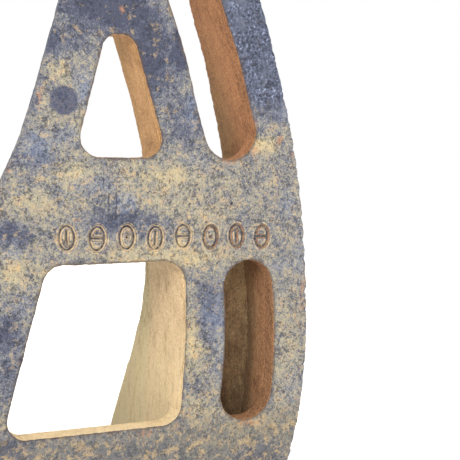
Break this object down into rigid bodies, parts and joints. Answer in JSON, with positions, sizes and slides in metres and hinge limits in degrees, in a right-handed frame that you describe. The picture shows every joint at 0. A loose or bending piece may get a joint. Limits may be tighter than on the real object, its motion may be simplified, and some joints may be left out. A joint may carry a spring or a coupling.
{
  "type": "excavator ripping tooth",
  "caption": "Windowed, ribbed excavator tooth shank on a bolted flange, with a locked replaceable point and a leading-edge guard.",
  "frame": {"origin": "centre of the bolt pattern on the underside of the base flange", "axes": "+Z from the flange to the tip; the windowed face looks along -Y; the leading edge is on the -X side"},
  "size_m": [0.254, 0.184, 0.524],
  "materials": {
    "weathered_paint": "weathered slate-blue paint under dried soil",
    "rusty_bar": "tan and orange surface rust",
    "cast_nose": "rough casting, rusted",
    "cast_point": "rough casting, polished by soil at its edges",
    "lock_steel": "machined, dull",
    "pin_steel": "turned, dull",
    "sleeve_polymer": "moulded polyurethane"
  },
  "bodies": {
    "root": {"base_flange": "weathered_paint", "face_plate": "weathered_paint", "outer_rim": "rusty_bar", "rear_plate": "weathered_paint", "mid_rib": "rusty_bar", "heel_strap": "rusty_bar", "outer_rib": "rusty_bar", "side_rib": "weathered_paint", "root_web": "weathered_paint", "front_gussets": "weathered_paint", "lifting_eye": "weathered_paint", "nose": "cast_nose", "shank_guard": "cast_point", "guard_pins": "pin_steel", "guard_pin_clips": "pin_steel"},
    "point": {"tooth_point": "cast_point", "near_lock_sleeve": "sleeve_polymer", "far_lock_sleeve": "sleeve_polymer"},
    "near_lock": {"near_lock": "lock_steel"},
    "far_lock": {"far_lock": "lock_steel"}
  },
  "joints": [
    {"name": "point_draw", "type": "slide", "parent": "root", "child": "point", "axis": [0, 0, 1], "range_m": [0, 0.095]},
    {"name": "near_lock_turn", "type": "hinge", "parent": "point", "child": "near_lock", "pos_m": [0.0325, -0.05, 0.412], "axis": [0, -1, 0], "range_deg": [0, 180]},
    {"name": "far_lock_turn", "type": "hinge", "parent": "point", "child": "far_lock", "pos_m": [0.0325, -0.01, 0.412], "axis": [0, 1, 0], "range_deg": [0, 180]}
  ]
}
